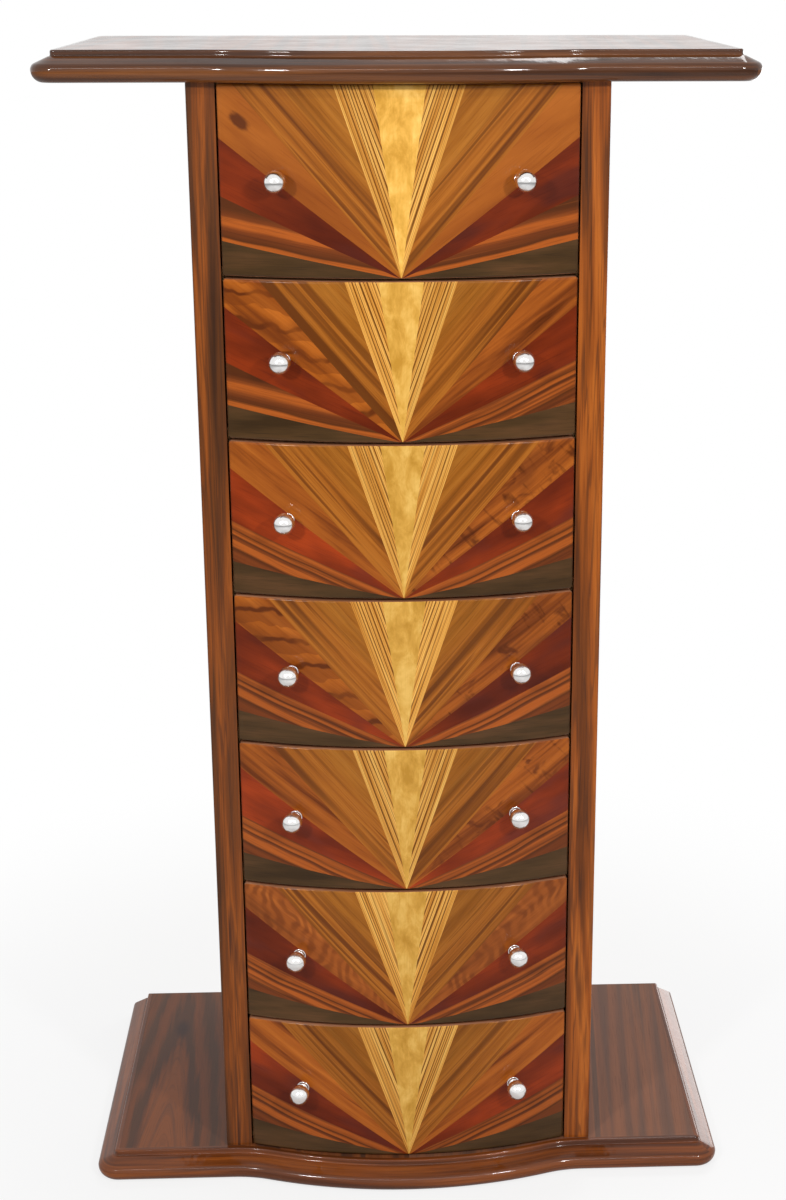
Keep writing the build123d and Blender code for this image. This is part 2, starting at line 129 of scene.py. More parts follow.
# Figure of the slabs' veneer, left of the middle, and the slant of the stripes on the right
figure_x = -0.318
figure_tip = 0.008
figure_lean = 0.11
knot_y = 0.13
knot_width = 0.010
knot_length = 0.024
stripe_slant = 0.075

# Rays of a half front, from the lowest to the middle one, and some of their numbers
ray_woods = ["ebony", "tulipwood", "padauk", "rosewood", "walnut", "walnut", "zebrano", "satinwood"]
ray_count = len(ray_woods)
striped_ray = ray_woods.index("tulipwood")
red_ray = ray_woods.index("padauk")
walnut_ray = ray_woods.index("walnut")
inner_walnut_ray = walnut_ray + 1
middle_ray = ray_woods.index("satinwood")
right_angle = 90.0

# Lamps: place, width, height, power in watts and target
chest_middle = (0.0, 0.0, 0.7)
lamps = {
    "wide_lamp": ((0.0, -2.5, 2.9), 2.6, 0.12, 14, chest_middle),
    "left_lamp": ((-1.25, -2.15, 2.0), 0.2, 0.2, 24, chest_middle),
    "right_lamp": ((1.25, -2.15, 2.0), 0.2, 0.2, 24, chest_middle),
    "side_lamp": ((1.7, 2.1, 0.75), 1.5, 1.3, 22, (0.3, 0.0, 0.2)),
    "back_lamp": ((0.5, 2.4, 3.4), 1.8, 1.2, 40, chest_middle),
}
surroundings_light = 0.36

# Floor: its reach, and where its paint fades to white for the camera alone
floor_reach = 9.0
floor_fade_start = 0.45
floor_fade_end = 1.2
floor_whiteness = 0.78


def srgb(red, green, blue):
    """Colour as written in a picture, 0 to 255, as linear values for a shader."""
    linear = []
    for value in (red, green, blue):
        share = value / 255
        linear.append(share / 12.92 if share <= 0.04045 else ((share + 0.055) / 1.055) ** 2.4)
    return (*linear, 1.0)


orange_stripe = srgb(168, 85, 30)
brown_stripe = srgb(116, 56, 22)
dark_stripe = srgb(84, 42, 16)
lower_stripes = [
    (0.00, orange_stripe),
    (0.10, orange_stripe),
    (0.15, dark_stripe),
    (0.40, brown_stripe),
    (0.50, orange_stripe),
    (0.64, orange_stripe),
    (0.70, brown_stripe),
    (0.90, dark_stripe),
]
upper_stripes = [
    (0.00, brown_stripe),
    (0.06, orange_stripe),
    (0.18, srgb(142, 70, 24)),
    (0.22, dark_stripe),
    (0.27, srgb(156, 78, 26)),
    (0.33, orange_stripe),
    (0.37, dark_stripe),
    (0.44, brown_stripe),
    (0.48, orange_stripe),
    (0.66, orange_stripe),
    (0.73, dark_stripe),
    (0.85, brown_stripe),
]

# Light and dark colour of the plain woods
beech = (srgb(206, 166, 116), srgb(180, 136, 88))
maple = (srgb(224, 194, 148), srgb(200, 164, 112))
birch = (srgb(214, 184, 138), srgb(190, 154, 104))


class Shader:
    """A new material, or the world, and the few kinds of node that its patterns need."""

    def __init__(self, name, world=None):
        self.material = world or bpy.data.materials.new(name)
        self.material.use_nodes = True
        self.tree = self.material.node_tree
        self.tree.nodes.clear()

    def add(self, kind, inputs=None, **settings):
        node = self.tree.nodes.new(kind)
        for key, value in settings.items():
            setattr(node, key, value)
        for key, value in (inputs or {}).items():
            self.feed(node.inputs[key], value)
        return node

    def feed(self, socket, value):
        if isinstance(value, bpy.types.NodeSocket):
            self.tree.links.new(value, socket)
        else:
            socket.default_value = value

    def split(self, vector):
        return self.add("ShaderNodeSeparateXYZ", {0: vector}).outputs

    def join(self, x, y, z=0.0):
        return self.add("ShaderNodeCombineXYZ", {0: x, 1: y, 2: z}).outputs[0]

    def note(self, name):
        """A number that the mesh holds for each face."""
        return self.add("ShaderNodeAttribute", attribute_name=name).outputs["Fac"]

    def grain(self, axis=None):
        """Place with the grain along x: the mesh's own layout, or the part's with grain along axis."""
        if axis is None:
            flat = self.split(self.add("ShaderNodeUVMap", uv_map="grain").outputs[0])
            return self.join(flat[0], flat[1], self.note("leaf"))
        place = self.split(self.add("ShaderNodeTexCoord").outputs["Object"])
        order = {"X": (0, 1, 2), "Y": (1, 0, 2), "Z": (2, 0, 1)}[axis]
        return self.join(*[place[k] for k in order])

    def box_grain(self, side_x):
        """Place with the grain along a drawer box's boards: front to back beyond side_x, else across."""
        place = self.split(self.add("ShaderNodeTexCoord").outputs["Object"])
        at_side = self.math("GREATER_THAN", self.math("ABSOLUTE", place[0]), side_x)
        between = self.math("SUBTRACT", 1.0, at_side)
        run = self.total((place[1], at_side), (place[0], between))
        thickness = self.total((place[0], at_side), (place[1], between))
        return self.join(run, place[2], thickness)

    def scaled(self, vector, scale, shift=(0, 0, 0)):
        """The vector times scale, moved by shift."""
        node = self.add("ShaderNodeVectorMath", {0: vector, 1: scale, 2: shift}, operation="MULTIPLY_ADD")
        return node.outputs[0]

    def noise(self, vector, detail=3.0, roughness=0.5, distortion=0.0):
        inputs = {
            "Vector": vector,
            "Scale": 1.0,
            "Detail": detail,
            "Roughness": roughness,
            "Distortion": distortion,
        }
        return self.add("ShaderNodeTexNoise", inputs).outputs["Fac"]

    def streaks(self, grain, along, across, shift=0.0, detail=3.0, roughness=0.5, distortion=0.0):
        """Noise drawn out along the grain: cycles per metre along and across it."""
        vector = self.scaled(grain, (along, across, across), (shift, shift * 1.7, shift * 0.6))
        return self.noise(vector, detail, roughness, distortion)

    def math(self, operation, first, second=0.0):
        return self.add("ShaderNodeMath", {0: first, 1: second}, operation=operation).outputs[0]

    def total(self, *terms):
        """Sum of values, each with its weight."""
        result = 0.0
        for value, weight in terms:
            part = self.math("MULTIPLY", value, weight)
            result = part if result == 0.0 else self.math("ADD", result, part)
        return result

    def fade(self, value, low, high, start=0.0, end=1.0):
        """The value carried smoothly from start at low to end at high."""
        inputs = {"Value": value, "From Min": low, "From Max": high, "To Min": start, "To Max": end}
        return self.add("ShaderNodeMapRange", inputs, interpolation_type="SMOOTHSTEP").outputs[0]

    def ramp(self, value, stops):
        """Colours along the value, as a list of places and colours."""
        node = self.add("ShaderNodeValToRGB", {0: value})
        elements = node.color_ramp.elements
        while len(elements) < len(stops):
            elements.new(0.5)
        for element, (place, colour) in zip(elements, stops):
            element.position = place
            element.color = colour
        return node.outputs[0]

    def mix(self, share, first, second, kind="MIX"):
        node = self.add("ShaderNodeMix", data_type="RGBA", blend_type=kind)
        self.feed(node.inputs["Factor"], share)
        self.feed(node.inputs["A"], first)
        self.feed(node.inputs["B"], second)
        return node.outputs["Result"]

    def toned(self, colour):
        """The colour made lighter or darker by the tone that each leaf of veneer has."""
        tone = self.note("tone")
        return self.mix(1.0, colour, self.join(tone, tone, tone), "MULTIPLY")

    def lines(self, value, width, level=0.5):
        """Thin lines where the value crosses a level: 1 on the line and 0 beside it."""
        offset = self.math("ABSOLUTE", self.math("SUBTRACT", value, level))
        return self.fade(offset, width * 0.3, width, 1.0, 0.0)

    def bars(self, grain, slant, spacing, sway, wander):
        """Rising from 0 to 1 over each bar, where bars slant by so many degrees and sway with a noise."""
        along, inwards = self.split(grain)[:2]
        lean = math.radians(slant)
        terms = ((along, math.cos(lean) / spacing), (inwards, math.sin(lean) / spacing), (sway, wander))
        return self.math("FRACT", self.total(*terms))

    def oval(self, vector, centre, size, rough, roughness):
        """Distance from a centre in shares of an oval's two half widths, roughened by a noise."""
        scale = (1 / size[0], 1 / size[1], 0)
        shift = (-centre[0] / size[0], -centre[1] / size[1], 0)
        away = self.scaled(vector, scale, shift)
        distance = self.add("ShaderNodeVectorMath", {0: away}, operation="LENGTH").outputs["Value"]
        return self.total((distance, 1.0), (rough, roughness))

    def fibre(self, grain, colour, dark, strength, shift):
        """Fine dark fibres and pores over a colour; the fibres come back too, for the relief."""
        fibre = self.streaks(grain, 26, 950, shift, 2.0)
        return self.mix(self.fade(fibre, 0.5, 0.78, 0.0, strength), colour, dark), fibre

    def finish(self, shader_output):
        self.add("ShaderNodeOutputMaterial", {"Surface": shader_output})
        return self.material

    def lacquered(self, colour, relief, gloss=0.13, shine=0.15, waviness=0.0):
        """Wood under clear gloss lacquer, with traces of grain relief and uneven lacquer."""
        place = self.add("ShaderNodeTexCoord").outputs["Object"]
        smears = self.noise(self.scaled(place, (14, 14, 14)), 4.0, 0.6)
        inputs = {"Strength": 0.3, "Distance": 0.00002, "Height": relief}
        surface = self.add("ShaderNodeBump", inputs).outputs[0]
        if waviness > 0:
            ripple = self.noise(self.scaled(place, (60, 60, 60)), 2.0, 0.5)
            inputs = {"Strength": 0.5, "Distance": waviness, "Height": ripple, "Normal": surface}
            surface = self.add("ShaderNodeBump", inputs).outputs[0]
        inputs = {
            "Base Color": colour,
            "Roughness": self.fade(smears, 0.3, 0.7, gloss, gloss + 0.08),
            "IOR": 1.5,
            "Specular IOR Level": shine,
            "Normal": surface,
        }
        return self.finish(self.add("ShaderNodeBsdfPrincipled", inputs).outputs[0])

    def bare(self, colour, relief):
        """Unfinished or waxed wood."""
        bump = self.add("ShaderNodeBump", {"Strength": 0.6, "Distance": 0.0001, "Height": relief})
        inputs = {
            "Base Color": colour,
            "Roughness": self.fade(relief, 0.2, 0.8, 0.6, 0.72),
            "Specular IOR Level": 0.3,
            "Normal": bump.outputs[0],
        }
        return self.finish(self.add("ShaderNodeBsdfPrincipled", inputs).outputs[0])


def satinwood(name):
    """Golden, softly quilted veneer of the middle ray."""
    shader = Shader(name)
    grain = shader.grain()
    quilt = shader.streaks(grain, 26, 48, 0.3, 4.0, 0.65, 0.3)
    stops = [(0.34, srgb(190, 138, 50)), (0.5, srgb(214, 162, 72)), (0.66, srgb(232, 186, 98))]
    colour = shader.ramp(quilt, stops)
    colour, fibre = shader.fibre(grain, colour, srgb(190, 136, 50), 0.3, 1.3)
    return shader.lacquered(shader.toned(colour), fibre)


def zebrano(name):
    """Straw-coloured veneer with thin dark lines, which start a little inside the ray's outer edge."""
    shader = Shader(name)
    grain = shader.grain()
    inwards = shader.split(grain)[1]
    ground = shader.streaks(grain, 4, 150, 0.7, 3.0, 0.65)
    stops = [(0.32, srgb(194, 126, 44)), (0.5, srgb(226, 162, 74)), (0.66, srgb(246, 192, 100))]
    colour = shader.ramp(ground, stops)
    drift = shader.streaks(grain, 1.8, 60, 2.1, 1.0)
    wander = shader.math("FRACT", shader.total((inwards, 245), (drift, 3.4)))
    broad = shader.lines(wander, 0.22)
    patches = shader.fade(shader.streaks(grain, 6, 50, 3.4, 2.0), 0.3, 0.55, 0.35, 1.0)
    start = shader.fade(inwards, 0.0015, 0.006)
    share = shader.math("MULTIPLY", shader.math("MULTIPLY", broad, patches), start)
    colour = shader.mix(shader.math("MULTIPLY", share, 0.95), colour, srgb(88, 46, 8))
    fine = shader.lines(shader.math("FRACT", shader.total((inwards, 610), (drift, 5.0))), 0.34)
    faint = shader.math("MULTIPLY", fine, 0.42)
    colour = shader.mix(faint, colour, srgb(130, 76, 20))
    return shader.lacquered(shader.toned(colour), ground)


def walnut(name):
    """Olive-brown veneer, streaked with orange and dark brown towards its outer edge."""
    shader = Shader(name)
    grain = shader.grain()
    inwards = shader.split(grain)[1]
    ground = shader.streaks(grain, 5, 90, 0.5, 4.0, 0.6)
    plain_stops = [(0.3, srgb(122, 68, 14)), (0.5, srgb(152, 92, 26)), (0.7, srgb(172, 110, 38))]
    plain = shader.ramp(ground, plain_stops)
    bands = shader.streaks(grain, 1.8, 100, 2.9, 2.5, 0.55, 0.3)
    stops = [
        (0.34, srgb(92, 44, 12)),
        (0.42, srgb(124, 66, 18)),
        (0.50, srgb(156, 88, 26)),
        (0.57, srgb(172, 102, 34)),
        (0.62, srgb(122, 64, 18)),
        (0.69, srgb(96, 46, 14)),
    ]
    streaked = shader.ramp(bands, stops)
    colour = shader.mix(shader.fade(inwards, 0.024, 0.050, 0.85, 0.2), plain, streaked)
    colour, fibre = shader.fibre(grain, colour, srgb(92, 48, 12), 0.45, 3.1)
    return shader.lacquered(shader.toned(colour), fibre)


plain_rosewood = [(0.25, srgb(130, 62, 18)), (0.5, srgb(162, 88, 28)), (0.7, srgb(180, 102, 36))]
streaked_rosewood = [
    (0.30, srgb(84, 36, 8)),
    (0.40, srgb(124, 60, 18)),
    (0.52, srgb(160, 84, 26)),
    (0.70, srgb(180, 100, 34)),
]
curly_rosewood = [(0.3, srgb(118, 60, 22)), (0.5, srgb(150, 78, 28)), (0.7, srgb(172, 94, 36))]
barred_rosewood = [(0.3, srgb(118, 56, 14)), (0.45, srgb(162, 84, 22)), (0.7, srgb(188, 104, 34))]
rosewood_stops = {
    "plain": plain_rosewood,
    "knot": plain_rosewood,
    "streaked": streaked_rosewood,
    "knotty": streaked_rosewood,
    "curly": curly_rosewood,
    "barred": barred_rosewood,
}
dark_rosewood = srgb(70, 28, 6)


def barred(shader, grain, colour):
    """Thin dark bars across the grain, with smoke beside each."""
    sway = shader.streaks(grain, 26, 26, 7.7, 2.0)
    rise = shader.bars(grain, 57, 0.031, sway, 1.1)
    patches = shader.fade(shader.streaks(grain, 20, 30, 4.4, 2.0), 0.34, 0.52, 0.45, 1.0)
    share = shader.math("MULTIPLY", shader.lines(rise, 0.13), patches)
    colour = shader.mix(shader.math("MULTIPLY", share, 0.92), colour, dark_rosewood)
    return shader.mix(shader.fade(rise, 0.5, 0.95, 0.45, 0.0), colour, srgb(112, 52, 14))


def curly(shader, grain, colour):
    """Fine wavy bars that lean the other way."""
    sway = shader.streaks(grain, 15, 26, 5.7, 2.0)
    rise = shader.bars(grain, -38, 0.012, sway, 4.6)
    patches = shader.fade(shader.streaks(grain, 22, 40, 4.9, 2.0), 0.38, 0.6, 0.1, 0.6)
    share = shader.math("MULTIPLY", shader.lines(rise, 0.42), patches)
    return shader.mix(share, colour, srgb(104, 48, 16))


def knotty(shader, grain, colour):
    """Dark blots, smoke and short cracks."""
    blots = shader.streaks(grain, 34, 58, 8.3, 3.0, 0.55, 0.6)
    colour = shader.mix(shader.fade(blots, 0.54, 0.7, 0.0, 0.8), colour, srgb(84, 36, 12))
    smoke = shader.streaks(grain, 12, 20, 3.1, 2.0)
    colour = shader.mix(shader.fade(smoke, 0.5, 0.7, 0.0, 0.6), colour, srgb(108, 52, 20))
    cracks = shader.streaks(grain, 95, 24, 6.1, 2.0, 0.5, 0.6)
    return shader.mix(shader.fade(cracks, 0.57, 0.74, 0.0, 0.7), colour, dark_rosewood)


def one_knot(shader, grain, colour):
    """A single dark knot towards the outer end."""
    place = (0.243, 0.029)
    size = (0.016, 0.008)
    away = shader.oval(grain, place, size, shader.streaks(grain, 90, 160, 2.2, 2.0), 0.8)
    return shader.mix(shader.fade(away, 0.9, 1.5, 0.9, 0.0), colour, srgb(84, 38, 14))


def rosewood(name, figure):
    """Orange-brown veneer with dark streaks and the figure that its name tells."""
    shader = Shader(name)
    grain = shader.grain()
    broad = figure in ("plain", "knot")
    ground = shader.streaks(grain, 4, 22 if broad else 75, 1.9, 4.0, 0.6, 0.4)
    colour = shader.ramp(ground, rosewood_stops[figure])
    figures = {"barred": barred, "curly": curly, "knotty": knotty, "knot": one_knot}
    if figure in figures:
        colour = figures[figure](shader, grain, colour)
    colour, fibre = shader.fibre(grain, colour, srgb(110, 50, 14), 0.4, 2.2)
    return shader.lacquered(shader.toned(colour), fibre)


def padauk(name):
    """Deep red-brown veneer with plum-coloured patches."""
    shader = Shader(name)
    grain = shader.grain()
    ground = shader.streaks(grain, 6, 20, 0.2, 3.0, 0.55)
    stops = [(0.3, srgb(88, 28, 8)), (0.5, srgb(122, 43, 12)), (0.68, srgb(158, 58, 18))]
    colour = shader.ramp(ground, stops)
    plum = shader.fade(shader.streaks(grain, 9, 24, 6.3, 2.0), 0.52, 0.68, 0.0, 0.7)
    colour = shader.mix(plum, colour, srgb(92, 38, 28))
    colour, fibre = shader.fibre(grain, colour, srgb(78, 20, 12), 0.4, 3.7)
    return shader.lacquered(shader.toned(colour), fibre)


def tulipwood(name, stops):
    """Orange and dark brown stripes, set out over 40 mm from the edge that they run along."""
    shader = Shader(name)
    grain = shader.grain()
    inwards = shader.split(grain)[1]
    sway = shader.streaks(grain, 7, 9, 4.1, 2.0)
    place = shader.total((inwards, 25.0), (shader.math("SUBTRACT", sway, 0.5), 0.35))
    colour = shader.ramp(place, stops)
    bands = shader.streaks(grain, 2.0, 190, 3.3, 3.0, 0.6)
    colour = shader.mix(shader.fade(bands, 0.48, 0.7, 0.0, 0.7), colour, srgb(80, 38, 16))
    light = shader.fade(bands, 0.28, 0.42, 0.35, 0.0)
    colour = shader.mix(light, colour, srgb(174, 92, 36))
    colour, fibre = shader.fibre(grain, colour, srgb(84, 40, 16), 0.45, 1.4)
    return shader.lacquered(shader.toned(colour), fibre)


def ebony(name):
    """Dark brown veneer of the lowest ray."""
    shader = Shader(name)
    grain = shader.grain()
    ground = shader.streaks(grain, 8, 50, 0.4, 3.0, 0.55)
    stops = [(0.3, srgb(58, 40, 20)), (0.5, srgb(74, 52, 28)), (0.7, srgb(92, 62, 36))]
    colour = shader.ramp(ground, stops)
    colour, fibre = shader.fibre(grain, colour, srgb(44, 32, 20), 0.5, 2.4)
    return shader.lacquered(shader.toned(colour), fibre)


def case_veneer(name, grain_axis, seed, stops, across=24.0, along=1.4, vein_share=0.5):
    """Striped rosewood veneer of the case, its grain along an axis of the part."""
    shader = Shader(name)
    grain = shader.grain(grain_axis)
    bands = shader.streaks(grain, along, across, seed, 3.0, 0.6, 0.5)
    colour = shader.ramp(bands, stops)
    vein = shader.lines(shader.streaks(grain, along * 1.4, across * 2.2, seed + 3.0, 2.0, 0.5, 0.5), 0.04)
    colour = shader.mix(shader.math("MULTIPLY", vein, vein_share), colour, srgb(58, 38, 28))
    colour, fibre = shader.fibre(grain, colour, srgb(58, 36, 26), 0.45, seed + 1.0)
    return shader.lacquered(colour, fibre, waviness=0.0001)


def slab_figure(shader):
    """Layout of a slab's figure: its stripes' run, the arches on the left and where they show."""
    run, side, level = shader.split(shader.grain("Y"))
    offset = shader.math("POWER", shader.math("ADD", side, -figure_x), 2)
    beside = shader.math("SQRT", shader.math("ADD", offset, figure_tip ** 2))
    lean = shader.fade(beside, 0.02, 0.16, figure_lean, 0.0)
    arched = shader.math("ADD", beside, shader.math("MULTIPLY", run, lean))
    slanted = shader.math("ADD", side, shader.math("MULTIPLY", run, -stripe_slant))
    right = shader.math("GREATER_THAN", side, 0.0)
    left = shader.math("SUBTRACT", 1.0, right)
    place = shader.total((arched, left), (slanted, right))
    grain = shader.join(run, place, level)
    flat = shader.join(run, side, level)
    figured = shader.math("MULTIPLY", left, shader.fade(arched, 0.075, 0.105, 1.0, 0.0))
    return grain, flat, arched, figured, right


def slab_veneer(name, seed, stops, figure_stops, shine):
    """Veneer of a slab's face: an arched figure and a knot on the left, slanting stripes on the right,
    and a painted pale sheen over the right half.
    """
    shader = Shader(name)
    grain, flat, arched, figured, right = slab_figure(shader)
    bands = shader.streaks(grain, 0.8, 42, seed, 2.0, 0.5, 0.35)
    drift = shader.streaks(flat, 5, 40, seed + 2.0, 3.0)
    fine = shader.streaks(flat, 7, 240, seed + 5.0, 2.0)
    arches = shader.total((arched, 10.0), (drift, 0.26), (fine, 0.14), (1.0, -0.2))
    colour = shader.mix(figured, shader.ramp(bands, stops), shader.ramp(arches, figure_stops))
    thin = shader.streaks(grain, 1.6, 90, seed + 3.0, 2.0)
    colour = shader.mix(shader.fade(thin, 0.48, 0.68, 0.0, 0.4), colour, srgb(76, 56, 48))
    away = shader.oval(flat, (knot_y, figure_x), (knot_length, knot_width), drift, 0.6)
    colour = shader.mix(shader.fade(away, 0.7, 1.7, 0.8, 0.0), colour, srgb(62, 44, 40))
    # Painted sheen: the right half is mixed a little towards pale pinkish grey, standing in for a
    # reflection.
    colour = shader.mix(shader.math("MULTIPLY", right, 0.3), colour, srgb(140, 106, 90))
    colour, fibre = shader.fibre(grain, colour, srgb(66, 46, 38), 0.35, seed + 1.0)
    return shader.lacquered(colour, fibre, shine=shine, waviness=0.0001)


def moulding_wood(name, stops):
    """Reddish brown solid wood of the mouldings, its grain along them."""
    shader = Shader(name)
    grain = shader.grain()
    bands = shader.streaks(grain, 3, 110, 0.6, 3.0, 0.6, 0.4)
    colour = shader.ramp(bands, stops)
    colour, fibre = shader.fibre(grain, colour, srgb(66, 32, 18), 0.4, 2.6)
    return shader.lacquered(colour, fibre, gloss=0.05, shine=0.34, waviness=0.0005)


def plain_wood(name, axis, seed, light, dark, side_x=None):
    """Bare wood of the inside and the back."""
    shader = Shader(name)
    grain = shader.grain(axis) if side_x is None else shader.box_grain(side_x)
    bands = shader.streaks(grain, 1.8, 45, seed, 3.0, 0.55, 0.3)
    colour = shader.ramp(bands, [(0.3, dark), (0.7, light)])
    colour, fibre = shader.fibre(grain, colour, dark, 0.5, seed + 2.0)
    return shader.bare(colour, fibre)


def edge_wood_and_highlight(name):
    """Pinkish brown core wood that shows where the fronts' edges are rounded, made lighter as a painted
    highlight along the rims.
    """
    shader = Shader(name)
    grain = shader.grain("X")
    bands = shader.streaks(grain, 6, 60, 0.8, 3.0)
    # Partly painted highlight: the core wood's colours are lighter, standing in for the light that the
    # rounded rims catch.
    colour = shader.ramp(bands, [(0.3, srgb(132, 84, 58)), (0.7, srgb(174, 122, 90))])
    colour, fibre = shader.fibre(grain, colour, srgb(112, 66, 44), 0.4, 3.1)
    return shader.lacquered(colour, fibre, shine=0.5)


def metal(name, colour, roughness, smear):
    """Polished or plain metal with faint smears."""
    shader = Shader(name)
    place = shader.add("ShaderNodeTexCoord").outputs["Object"]
    cloud = shader.noise(shader.scaled(place, (180, 180, 180)), 3.0, 0.6)
    bump = shader.add("ShaderNodeBump", {"Strength": 0.1, "Distance": 0.00002, "Height": cloud})
    tint = shader.mix(shader.fade(cloud, 0.3, 0.7, 0.0, 0.12), colour, srgb(150, 150, 155))
    inputs = {
        "Base Color": tint,
        "Metallic": 1.0,
        "Roughness": shader.fade(cloud, 0.3, 0.7, roughness, roughness + smear),
        "Normal": bump.outputs[0],
    }
    return shader.finish(shader.add("ShaderNodeBsdfPrincipled", inputs).outputs[0])


def new_object(name, mesh, body, materials, replaced):
    """A piece from a finished mesh, riding on a body in place of CAD nodes."""
    for material in materials:
        mesh.materials.append(material)
    piece = bpy.data.objects.new(name, mesh)
    bpy.context.scene.collection.objects.link(piece)
    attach(piece, body)
    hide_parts(*replaced)


def finished_mesh(name, sheet, crease):
    """A mesh from its sheet of faces, sharp where they meet at more than the crease in degrees."""
    mesh = bpy.data.meshes.new(name)
    sheet.to_mesh(mesh)
    sheet.free()
    mesh.set_sharp_from_angle(angle=math.radians(crease))
    return mesh


def dress(name, material):
    """Give a CAD node its material."""
    mesh = nodes[name].data
    for index in range(len(mesh.materials)):
        nodes[name].material_slots[index].material = material


def arc(centre, radius, start, end, steps):
    """Points on a circle, angles in radians from the first axis."""
    points = []
    for k in range(steps + 1):
        angle = start + (end - start) * k / steps
        points.append((centre[0] + radius * math.cos(angle), centre[1] + radius * math.sin(angle)))
    return points


# Places taken from the frame
board_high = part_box("base_board")[1]
front_moulding_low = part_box("base_front_moulding")[0]
stile_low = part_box("right_front_stile")[0]
board_half_width = board_high.x
slab_back_y = board_high.y
fillet_y = front_moulding_low.y + moulding_reach + bulge_depth
top_slab_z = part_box("top_board")[0].z
opening_half_width = stile_low.x
stile_front_y = stile_low.y
front_bow = stile_front_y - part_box("drawer_1_marquetry")[0].y
bow_radius = (opening_half_width ** 2 + front_bow ** 2) / (2 * front_bow)
bow_centre_y = stile_front_y - front_bow + bow_radius


def moulding_profile():
    """Section of the moulding as a closed loop: outwards from the board's edge, and up."""
    tip = lip_width + moulding_reach
    ledge_out = lip_width + ledge_width
    ledge_up = slab_thickness - fillet_height
    nose_out = tip - nose_radius
    distance = math.hypot(ledge_out - nose_out, ledge_up - nose_height)
    slope = math.atan2(ledge_up - nose_height, ledge_out - nose_out) - math.acos(nose_radius / distance)
    under_radius = (under_inset ** 2 + nose_height ** 2) / (2 * under_inset)
    under_angle = math.asin(nose_height / under_radius)
    quarter = math.pi / 2
    points = [(glue_line, slab_thickness)]
    lip_centre = (lip_width - lip_rounding, slab_thickness - lip_rounding)
    points += arc(lip_centre, lip_rounding, quarter, 0, rounding_steps)
    points += [(lip_width, ledge_up + ledge_rounding)]
    hollow = (lip_width + ledge_rounding, ledge_up + ledge_rounding)
    points += arc(hollow, ledge_rounding, -2 * quarter, -quarter, rounding_steps)[1:]
    points += arc((ledge_out - arris, ledge_up - arris), arris, quarter, slope, arris_steps)
    points += arc((nose_out, nose_height), nose_radius, slope, 0, nose_steps)
    points += arc((tip - under_radius, nose_height), under_radius, 0, -under_angle, under_steps)[1:]
    points += [(glue_line, 0)]
    return points


def serpentine_stations():
    """Places along a slab's front from mitre to mitre: x, y and the angle of the outward side."""
    pair_sum = (bulge_half_width ** 2 + bulge_depth ** 2) / (2 * bulge_depth)
    bulge_centre_y = fillet_y - bulge_depth + pair_sum - cove_radius
    cove_centre_y = fillet_y - cove_radius
    turn = math.atan2(bulge_half_width, bulge_centre_y - cove_centre_y)
    bulge_r = pair_sum - cove_radius - lip_width
    cove_r = cove_radius + lip_width
    line_y = fillet_y + lip_width
    right = []
    for k in range(bulge_steps + 1):
        angle = turn * k / bulge_steps
        right.append((bulge_r * math.sin(angle), bulge_centre_y - bulge_r * math.cos(angle), angle))
    for k in range(1, cove_steps + 1):
        angle = turn * (1 - k / cove_steps)
        x = bulge_half_width - cove_r * math.sin(angle)
        right.append((x, cove_centre_y + cove_r * math.cos(angle), angle))
    for k in range(1, straight_steps + 1):
        share = k / straight_steps
        right.append((bulge_half_width + (board_half_width - bulge_half_width) * share, line_y, 0.0))
    for k in range(1, mitre_steps + 1):
        right.append((board_half_width, line_y, math.pi / 4 * k / mitre_steps))
    left = [(-x, y, -angle) for x, y, angle in reversed(right[1:])]
    return left + right


def side_stations():
    """Places along a slab's right side from the mitre to the back."""
    line_y = fillet_y + lip_width
    stations = []
    for k in range(mitre_steps + 1):
        stations.append((board_half_width, line_y, math.pi / 4 * (1 + k / mitre_steps)))
    for k in range(1, side_steps + 1):
        y = line_y + (slab_back_y - line_y) * k / side_steps
        stations.append((board_half_width, y, math.pi / 2))
    return stations


def swept_sheet(stations, profile, floor_z, mirrored=False):
    """A closed section carried along the stations, its grain laid along them."""
    sheet = bmesh.new()
    grain = sheet.loops.layers.uv.new("grain")
    side = -1 if mirrored else 1
    rings = []
    runs = [0.0]
    nose_line = lip_width + moulding_reach - nose_radius
    last = None
    for x, y, angle in stations:
        out = Vector((side * math.sin(angle), -math.cos(angle), 0))
        foot = Vector((side * x, y, floor_z))
        rings.append([sheet.verts.new(foot + out * u + Vector((0, 0, v))) for u, v in profile])
        nose = foot + out * nose_line
        if last is not None:
            runs.append(runs[-1] + (nose - last).length)
        last = nose
    girth = [0.0]
    for a, b in zip(profile, profile[1:] + profile[:1]):
        girth.append(girth[-1] + math.hypot(b[0] - a[0], b[1] - a[1]))
    count = len(profile)
    for i in range(len(rings) - 1):
        for j in range(count):
            corners = [(i, j), (i + 1, j), (i + 1, j + 1), (i, j + 1)]
            face = sheet.faces.new([rings[a][b % count] for a, b in corners])
            for loop, (a, b) in zip(face.loops, corners):
                loop[grain].uv = (runs[a] + floor_z, girth[b])
            face.smooth = True
    for ring, run in ((rings[0], runs[0]), (rings[-1], runs[-1])):
        face = sheet.faces.new(ring)
        for loop, (u, v) in zip(face.loops, profile):
            loop[grain].uv = (run + u, v)
    bmesh.ops.recalc_face_normals(sheet, faces=sheet.faces)
    return sheet


def add_moulding(name, sheet, material, replaced):
    """One length of moulding from its swept sheet, in place of a CAD node."""
    mesh = finished_mesh(name, sheet, moulding_crease)
    new_object(name, mesh, "case", [material], (replaced,))


base_moulding_stops = [
    (0.25, srgb(58, 28, 12)),
    (0.42, srgb(94, 47, 18)),
    (0.58, srgb(126, 65, 24)),
    (0.78, srgb(154, 83, 30)),
]
# Painted shade: the top slab's moulding is the same wood, its colours darker to stand in for shade.
shaded_top_moulding_stops = [
    (0.25, srgb(48, 27, 15)),
    (0.42, srgb(78, 44, 22)),
    (0.58, srgb(104, 60, 28)),
    (0.78, srgb(128, 76, 36)),
]


